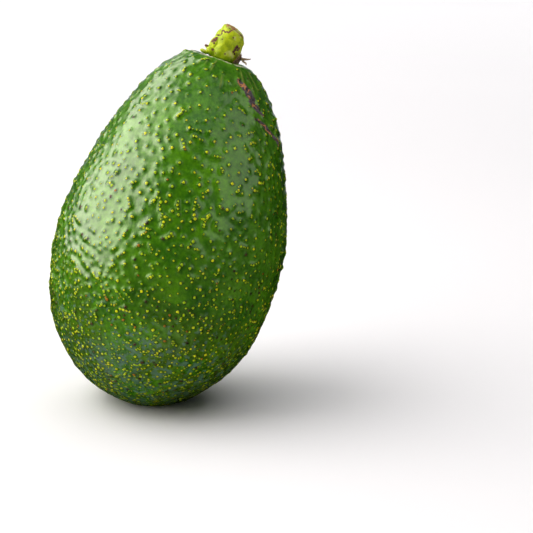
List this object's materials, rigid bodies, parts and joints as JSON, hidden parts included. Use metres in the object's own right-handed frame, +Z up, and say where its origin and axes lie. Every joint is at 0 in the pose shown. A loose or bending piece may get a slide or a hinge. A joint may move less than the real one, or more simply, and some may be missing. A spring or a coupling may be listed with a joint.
{
  "type": "avocado",
  "caption": "Whole green avocado with pebbled glossy skin and the stub of its stem, leaning on a small flat spot at its blossom end.",
  "frame": {"origin": "on the flat spot at the blossom end that the fruit rests on, under the lowest point of the fruit's smooth form", "axes": "+Z up, +X to the side that the stem end leans to, +Y to the back, which the stem end leans to a little as well"},
  "size_m": [0.071, 0.0693, 0.1104],
  "materials": {
    "skin": "glossy pebbled deep green skin with raised yellow-green dots",
    "stem": "satin lime green, with brown flecks and a brown cut edge",
    "dry_bract": "matt dry brown"
  },
  "bodies": {
    "root": {"fruit": "skin", "stem": "stem", "dry_bracts": "dry_bract"}
  },
  "joints": []
}
